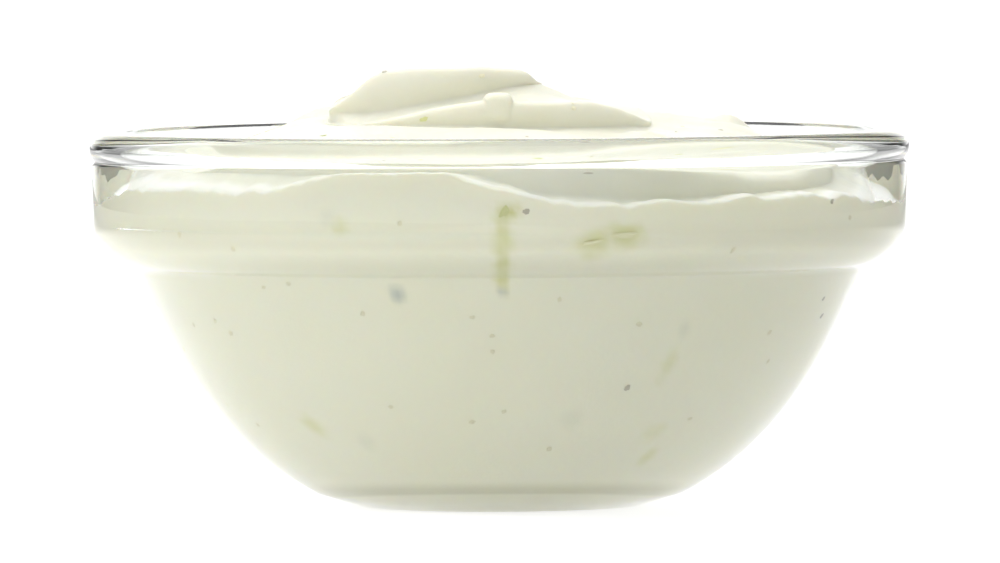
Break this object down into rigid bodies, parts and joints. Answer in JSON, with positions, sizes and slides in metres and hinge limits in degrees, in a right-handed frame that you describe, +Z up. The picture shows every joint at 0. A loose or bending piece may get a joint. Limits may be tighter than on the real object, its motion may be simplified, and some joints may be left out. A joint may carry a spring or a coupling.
{
  "type": "tzatziki dip in a glass bowl",
  "caption": "White cucumber and yoghurt dip heaped in soft folds over the rim of a small clear glass bowl with a broad collar.",
  "frame": {"origin": "middle of the bowl's base, on the surface it stands on", "axes": "+Z up along the bowl's axis; the front, where the topmost fold shows its face, looks along -Y; +X is to the right"},
  "size_m": [0.09, 0.09, 0.0483],
  "materials": {
    "clear_glass": "clear, smooth and glossy",
    "creamy_dip": "moist, softly shining cream"
  },
  "bodies": {
    "root": {"bowl": "clear_glass", "dip": "creamy_dip"}
  },
  "joints": []
}
